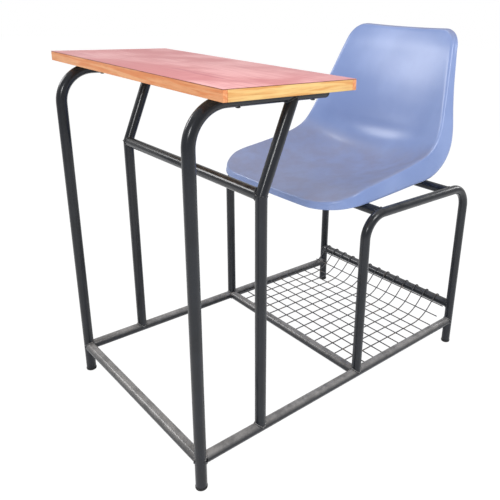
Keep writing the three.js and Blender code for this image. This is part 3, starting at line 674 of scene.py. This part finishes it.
# %% Press a flat point onto the shell
def outline_at(distance):
    distance = min(max(distance, 0), LENGTH)
    low, high = 0, len(OUTLINE) - 1
    while high - low > 1:
        middle = (low + high) // 2
        if OUTLINE[middle][0] <= distance:
            low = middle
        else:
            high = middle
    before, after = OUTLINE[low], OUTLINE[high]
    t = (distance - before[0]) / (after[0] - before[0])
    return [a + (b - a) * t for a, b in zip(before, after)][1:]


def tangent_at(distance, step=2 * MM):
    y0, z0 = outline_at(distance - step)[:2]
    y1, z1 = outline_at(distance + step)[:2]
    return Vector((0, y1 - y0, z1 - z0)).normalized()


def rim_of(x, s):
    """Nearest rim point, how far past it the point lies, and which way that is."""
    radius, end = (FRONT_CORNER, -1) if s < LENGTH / 2 else (TOP_CORNER, 1)
    corner_s = radius if end < 0 else LENGTH - radius
    sideward = max(abs(x) - (HALF_WIDTH - radius), 0)
    endward = max((s - corner_s) * end, 0)
    distance = math.hypot(sideward, endward)
    past = distance - radius
    if past <= 0:
        return x, s, 0, 0, 0
    out_x = math.copysign(sideward, x) / distance
    out_s = end * endward / distance
    return x - out_x * past, s - out_s * past, past, out_x, out_s


def on_shell(x, s):
    rim_x, rim_s, past, out_x, out_s = rim_of(x, s)
    y, z, half, skirt, dish = outline_at(rim_s)
    along = tangent_at(rim_s)
    away = Vector((0, along.z, -along.y))
    across = abs(rim_x) / HALF_WIDTH
    sunk = dish * (1 - across**2.2)
    place = Vector((rim_x * half / HALF_WIDTH, FRONT_Y + y, z)) + away * sunk
    if past == 0:
        return place
    t = past / SKIRT_SPAN
    roll = min(t / ROLL_SHARE, 1) * math.pi / 2
    straight = max(t - ROLL_SHARE, 0) / (1 - ROLL_SHARE)
    outward = (X_AXIS * out_x + along * out_s).normalized()
    out = ROLL * math.sin(roll) + FLARE * straight
    drop = ROLL * (1 - math.cos(roll)) + (skirt - ROLL) * straight
    return place + outward * out + away * drop


# %% [markdown]
# A square grid has sharp corners and the pattern has round ones, so grid cells near a corner are
# first bent into a quarter disc.  Each square line round the corner becomes an arc, which keeps the
# rim on one grid line.  The grid starts as Blender's own, and only its points move.

# %% Bend the grid's corners and press it
def round_corner(x, s):
    radius, end = (FRONT_CORNER, -1) if s < LENGTH / 2 else (TOP_CORNER, 1)
    corner_s = radius if end < 0 else LENGTH - radius
    sideward = abs(x) - (HALF_WIDTH - radius)
    endward = (s - corner_s) * end
    if sideward <= 0 or endward <= 0:
        return x, s
    arc = max(sideward, endward)
    turn = math.pi / 4 * min(sideward, endward) / arc
    angle = turn if sideward > endward else math.pi / 2 - turn
    flat_x = math.copysign(HALF_WIDTH - radius + arc * math.cos(angle), x)
    return flat_x, corner_s + end * arc * math.sin(angle)


def spaced(half, count):
    """Even steps to the rim, then closer ones round the roll and down the skirt."""
    rim = [half * i / count for i in range(count + 1)]
    roll = [half + SKIRT_SPAN * ROLL_SHARE * i / 4 for i in range(1, 5)]
    skirt = [half + SKIRT_SPAN * (ROLL_SHARE + (1 - ROLL_SHARE) * i / 3) for i in range(1, 4)]
    return rim + roll + skirt


def shell_grid():
    right = spaced(HALF_WIDTH, 20)
    columns = [-v for v in reversed(right[1:])] + right
    upper = spaced(LENGTH / 2, 36)
    rows = [LENGTH / 2 - v for v in reversed(upper[1:])] + [LENGTH / 2 + v for v in upper]
    shape = bmesh.new()
    bmesh.ops.create_grid(shape, x_segments=len(columns) - 1, y_segments=len(rows) - 1, size=1)
    for vert in shape.verts:
        column = round((vert.co.x + 1) / 2 * (len(columns) - 1))
        row = round((vert.co.y + 1) / 2 * (len(rows) - 1))
        vert.co = on_shell(*round_corner(columns[column], rows[row]))
    return shape


# %% [markdown]
# Moulded polypropylene is semi-glossy with a very fine texture.  The pan has gone greyer than the
# lip and back, from dust and from clothes rubbing it, so the colour follows how far the surface
# faces up, broken by soft noise.

# %% Seat plastic
def make_seat_plastic():
    finish = Finish("seat_plastic", Specular_IOR_Level=0.5, Coat_Weight=0.25, Coat_Roughness=0.25)
    clouds = finish.noise(130 * MM, detail=3)
    blue = finish.mix(finish.ramp(clouds, 0.35, 0.7), rgb(131, 153, 206), rgb(145, 166, 217))
    up = finish.ramp(finish.facing_up(), 0.45, 0.97)
    worn = finish.noise(45 * MM, detail=5, roughness=0.6)
    dust = up * (0.55 + finish.ramp(worn, 0.3, 0.7) * 0.35)
    greyed = finish.mix(dust, blue, rgb(136, 140, 170))
    specks = finish.ramp(finish.noise(3 * MM, detail=4, roughness=0.7), 0.66, 0.72)
    finish.set("Base Color", finish.mix(specks * up * 0.2, greyed, rgb(118, 116, 134)))
    finish.set("Roughness", 0.28 + dust * 0.4)
    finish.bump(finish.noise(2 * MM, detail=1), 0.04 * MM, 0.2)
    return finish.material


SEAT_PLASTIC = make_seat_plastic()
shell = add_piece("seat_shell_moulded", shell_grid(), SEAT_PLASTIC,
                  ["seat_shell"], crease=180)
wall = shell.modifiers.new("wall", "SOLIDIFY")
wall.thickness = WALL
wall.offset = -1
wall.use_even_offset = True
skin = shell.modifiers.new("skin", "SUBSURF")
skin.levels = skin.render_levels = 1
print("shell faces", len(shell.data.polygons))

# %% [markdown]
# Four hollow pillars are moulded under the pan, and a screw comes up through the seat tube into
# each one.  They are turned shapes that run up into the wall of the shell.

# %% Pillars under the seat
SCREW_X = abs(centre("seat_screw_front_left").x)


def shell_spot(x, y):
    """The point of the shell above a place on the plan, and the shell's outward normal there."""
    low, high = 0.0, LENGTH * 0.6
    while high - low > 0.1 * MM:
        s = (low + high) / 2
        if on_shell(x, s).y < y:
            low = s
        else:
            high = s
    step = 2 * MM
    across = on_shell(x + step, low) - on_shell(x - step, low)
    along = on_shell(x, low + step) - on_shell(x, low - step)
    return on_shell(x, low), across.cross(along).normalized()


def pillar(x, y, root=17 * MM, tip=12 * MM):
    """A tapered post, cut off inside the wall of the shell that it grows from."""
    foot = CHAIR_RAIL_Z + TUBE * 0.5
    top, up = shell_spot(x, y)
    tall = top.z + 2 * root
    outline = [(0, foot), (tip - MM, foot), (tip, foot + MM), (root, tall), (0, tall)]
    shape = turned(outline, Vector((x, y, 0)))
    cut = bmesh.ops.bisect_plane(shape, geom=shape.verts[:] + shape.edges[:] + shape.faces[:],
                                 plane_co=top - up * WALL / 2, plane_no=up,
                                 clear_outer=True)["geom_cut"]
    edges = [e for e in cut if isinstance(e, bmesh.types.BMEdge)]
    bmesh.ops.holes_fill(shape, edges=edges, sides=0)
    return shape


for end, y in zip(["front", "rear"], SEAT_TUBES_Y):
    for side, sign in SIDES.items():
        add_piece(f"seat_pillar_{end}_{side}", pillar(sign * SCREW_X, y), SEAT_PLASTIC)
print("pillars", 2 * len(SIDES))

# %% [markdown]
# ## Screws
#
# Blackened pan-head screws hold the seat and the desktop from below.  Only the heads show, so each
# gets a domed head, two thin crossed blocks at its face for the cross recess, and a plain shank.

# %% Blackened steel and the screws
def make_dark_steel():
    finish = Finish("screw_steel", Metallic=1.0)
    dull = finish.noise(2 * MM, detail=4)
    finish.set("Base Color", finish.mix(dull, rgb(70, 70, 72), rgb(104, 104, 104)))
    finish.set("Roughness", 0.3 + dull * 0.25)
    finish.bump(dull, 0.05 * MM, 0.3)
    return finish.material


SCREW_STEEL = make_dark_steel()


HEAD_OVER_SHANK = 1.9
HEAD_HEIGHT = 2 * MM
RECESS_SPAN = 4 * MM
RECESS_DEPTH = 0.3 * MM


def screw_outline(node):
    low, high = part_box(node)
    head = (high.x - low.x) / 2
    shank = head / HEAD_OVER_SHANK
    tall = HEAD_HEIGHT
    dome = [(head * math.sin(a), low.z + tall * 0.75 * (1 - math.cos(a)))
            for a in [math.radians(d) for d in range(0, 91, 15)]]
    return [*dome, (head, low.z + tall), (shank, low.z + tall), (shank, high.z - shank),
            (0, high.z)]


def add_recess(shape, axis_x, axis_y, bottom, span):
    """Two thin crossed blocks at the head's underside, standing for the cross recess."""
    for turn in (0, math.pi / 2):
        size = Matrix.Diagonal((span, span * 0.2, 0.5 * MM, 1))
        place = Matrix.Translation((axis_x, axis_y, bottom)) @ Matrix.Rotation(turn, 4, "Z")
        bmesh.ops.create_cube(shape, size=1, matrix=place @ size)


SCREWS = [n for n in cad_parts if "screw" in n]
for node in SCREWS:
    middle = centre(node)
    shape = turned(screw_outline(node), Vector((middle.x, middle.y, 0)), steps=20)
    add_recess(shape, middle.x, middle.y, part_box(node)[0].z + RECESS_DEPTH, RECESS_SPAN)
    add_piece(f"{node}_turned", shape, SCREW_STEEL, [node])
print("screws", len(SCREWS))

# %% [markdown]
# ## Book basket
#
# A sheet of welded wire lies between the floor rails.  Its back edge curves up and each long wire
# is hooked over the raised rear rail.  The long wires are bent with the tube maker; the cross
# wires lie just under them, sunk in a little where they are welded.

# %% Basket wire finish
def make_basket_wire():
    finish = Finish("basket_wire")
    dirt = finish.noise(22 * MM, detail=5, roughness=0.65)
    rusty = finish.ramp(dirt, 0.5, 0.72)
    finish.set("Base Color", finish.mix(rusty, rgb(92, 92, 94), rgb(116, 98, 84)))
    finish.set("Roughness", 0.42 + rusty * 0.35)
    finish.set("Metallic", 0.55 - rusty * 0.5)
    finish.bump(finish.noise(1.5 * MM, detail=4), 0.1 * MM, 0.5)
    return finish.material


BASKET_WIRE = make_basket_wire()

# %% The line of a long wire
WIRE = 1.45 * MM
BASKET_Z = 70 * MM
PITCH_ACROSS = 35.8 * MM
PITCH_ALONG = 32 * MM
SHEET_SHIFT = -12.3 * MM
COLUMN_COUNT = 13
FIRST_ROW = 30 * MM
RISE_RADIUS = 90 * MM
RISE = math.radians(45)
HOOK = math.radians(100)
HOOK_RADIUS = TUBE + FIT_GAP + WIRE
CLIMB = Vector((0, math.cos(RISE), math.sin(RISE)))


def wire_corners(x):
    touch = Vector((x, CHAIR_REAR_Y, REAR_RAIL_Z))
    touch += Vector((0, -math.sin(RISE), math.cos(RISE))) * HOOK_RADIUS
    foot = touch - CLIMB * ((touch.z - BASKET_Z) / math.sin(RISE))
    setback = HOOK_RADIUS * math.tan(HOOK / 2)
    crest = touch + CLIMB * setback
    down = Matrix.Rotation(-HOOK, 3, "X") @ CLIMB
    start = Vector((x, CHAIR_FRONT_Y + RUN_IN, BASKET_Z))
    return [start, foot, crest, crest + down * (setback + 2 * MM)], setback


def wire_station(distance):
    """Where on the side view a cross wire lies, and the slope there."""
    corners, _ = wire_corners(0)
    bend_start = corners[1].y - RISE_RADIUS * math.tan(RISE / 2)
    y = CHAIR_FRONT_Y + TUBE + distance
    angle = min(max((y - bend_start) / RISE_RADIUS, 0), RISE)
    straight = max(y - bend_start - angle * RISE_RADIUS, 0)
    turn_y = RISE_RADIUS * math.sin(angle) + straight * math.cos(angle)
    turn_z = RISE_RADIUS * (1 - math.cos(angle)) + straight * math.sin(angle)
    return Vector((0, min(y, bend_start) + turn_y, BASKET_Z + turn_z)), angle


# %% Lay the long wires and the cross wires
def long_wire(x):
    corners, _ = wire_corners(x)
    return tube_shape(corners, [RISE_RADIUS, HOOK_RADIUS], radius=WIRE, sides=10)


def cross_wire(distance):
    place, angle = wire_station(distance)
    below = Vector((0, math.sin(angle), -math.cos(angle))) * (2 * WIRE - 0.5 * MM)
    reach = X_AXIS * (SIDE_X - TUBE * 0.92)
    return tube_shape([place + below - reach, place + below + reach], radius=WIRE, sides=10)


def sheet_length():
    corners, setback = wire_corners(0)
    climb = (corners[2] - corners[1]).length - RISE_RADIUS * math.tan(RISE / 2) - setback
    bend_start = corners[1].y - RISE_RADIUS * math.tan(RISE / 2)
    return bend_start - CHAIR_FRONT_Y - TUBE + RISE_RADIUS * RISE + climb


def merge_into(whole, part):
    """Copy one bmesh into another, so the basket is a single piece."""
    scrap = bpy.data.meshes.new("scrap")
    part.to_mesh(scrap)
    part.free()
    whole.from_mesh(scrap)
    bpy.data.meshes.remove(scrap)


basket = bmesh.new()
for i in range(COLUMN_COUNT):
    x = SHEET_SHIFT + (i - (COLUMN_COUNT - 1) / 2) * PITCH_ACROSS
    merge_into(basket, long_wire(x))
row_count = math.ceil((sheet_length() - FIRST_ROW) / PITCH_ALONG)
for i in range(row_count):
    merge_into(basket, cross_wire(FIRST_ROW + i * PITCH_ALONG))
add_piece("book_basket_welded", basket, BASKET_WIRE, ["book_basket"])
print("basket wires", COLUMN_COUNT, "by", row_count)

# %% [markdown]
# ## Floor, light and camera
#
# A pale floor, a pale backdrop and soft light from large lamps show the colours plainly.  The
# backdrop only needs to look white to the camera, so the world uses Light Path for that and lights
# the object at its own level.

# %% Floor and world
def make_floor():
    shape = bmesh.new()
    bmesh.ops.create_grid(shape, x_segments=1, y_segments=1, size=12)
    mesh = bpy.data.meshes.new("floor")
    shape.to_mesh(mesh)
    shape.free()
    finish = Finish("floor_white", Roughness=0.9, Specular_IOR_Level=0.0)
    finish.set("Base Color", rgb(250, 250, 250))
    path = finish.node("ShaderNodeLightPath", output="Is Camera Ray")
    glow = finish.node("ShaderNodeEmission", {}, {"Color": (1, 1, 1, 1), "Strength": 1.1})
    lit = Value(finish, finish.surface.outputs[0])
    blend = finish.node("ShaderNodeMixShader", {}, {0: path * 0.85, 1: lit, 2: glow})
    finish.tree.links.new(blend.socket, finish.tree.nodes["Material Output"].inputs["Surface"])
    mesh.materials.append(finish.material)
    floor = bpy.data.objects.new("floor", mesh)
    bpy.context.scene.collection.objects.link(floor)


def make_world(strength=0.5):
    world = bpy.data.worlds.new("studio")
    bpy.context.scene.world = world
    world.use_nodes = True
    nodes, links = world.node_tree.nodes, world.node_tree.links
    background = nodes["Background"]
    background.inputs["Color"].default_value = (1, 1, 1, 1)
    path = nodes.new("ShaderNodeLightPath")
    seen = nodes.new("ShaderNodeMath")
    seen.operation = "MAXIMUM"
    links.new(path.outputs["Is Camera Ray"], seen.inputs[0])
    links.new(path.outputs["Is Transmission Ray"], seen.inputs[1])
    level = nodes.new("ShaderNodeMapRange")
    level.inputs["To Min"].default_value = strength
    level.inputs["To Max"].default_value = 1.0
    links.new(seen.outputs[0], level.inputs["Value"])
    links.new(level.outputs["Result"], background.inputs["Strength"])


make_floor()
make_world()


# %% Lamps
def add_lamp(name, place, aim, size, power):
    lamp = bpy.data.lights.new(name, "AREA")
    lamp.shape = "DISK"
    lamp.size = size
    lamp.energy = power
    holder = bpy.data.objects.new(name, lamp)
    holder.location = place
    holder.rotation_euler = (Vector(aim) - Vector(place)).to_track_quat("-Z", "Y").to_euler()
    bpy.context.scene.collection.objects.link(holder)


MIDDLE = Vector((0, 0, 0.45))
add_lamp("key", (1.9, 0.1, 2.3), MIDDLE, 1.0, 24)
add_lamp("fill", (-2.2, -1.6, 1.9), MIDDLE, 1.0, 20)
add_lamp("rim", (0.6, 2.6, 1.6), MIDDLE, 0.8, 12)
add_lamp("over_seat", (-0.9, 0.0, 2.4), MIDDLE, 0.35, 7)
add_lamp("by_camera", (1.6, -2.2, 1.5), MIDDLE, 0.6, 14)

# %% [markdown]
# The camera stands in front of the desk, to the sitter's left, a little above desk height, looking
# down.  The lens shift keeps the object where it belongs in the frame, and the camera is rolled by
# about two degrees, as a hand-held one is.

# %% Camera
def add_camera(place, heading, drop, roll, lens, shift):
    """heading turns the view from +Y towards -X, drop tips it down, roll tips it sideways."""
    h, d = math.radians(heading), math.radians(drop)
    forward = Vector((-math.sin(h) * math.cos(d), math.cos(h) * math.cos(d), -math.sin(d)))
    level = forward.to_track_quat("-Z", "Y").to_matrix()
    camera = bpy.data.cameras.new("camera")
    camera.lens = lens
    camera.sensor_width = 36
    camera.shift_x, camera.shift_y = shift
    holder = bpy.data.objects.new("camera", camera)
    holder.matrix_world = Matrix.Translation(place) @ (
        level @ Matrix.Rotation(math.radians(roll), 3, "Z")).to_4x4()
    bpy.context.scene.collection.objects.link(holder)
    bpy.context.scene.camera = holder


add_camera(Vector((0.9939, FRONT_Y - 0.4423, 0.8651)), heading=45.71, drop=19.91, roll=2.42,
           lens=41.44, shift=(-0.1431, -0.0736))

# %% [markdown]
# Last, colours are shown as they are written, and the finished size is kept beside the CAD's, so
# the two can be compared.

# %% Finish
bpy.context.scene.view_settings.view_transform = "Standard"
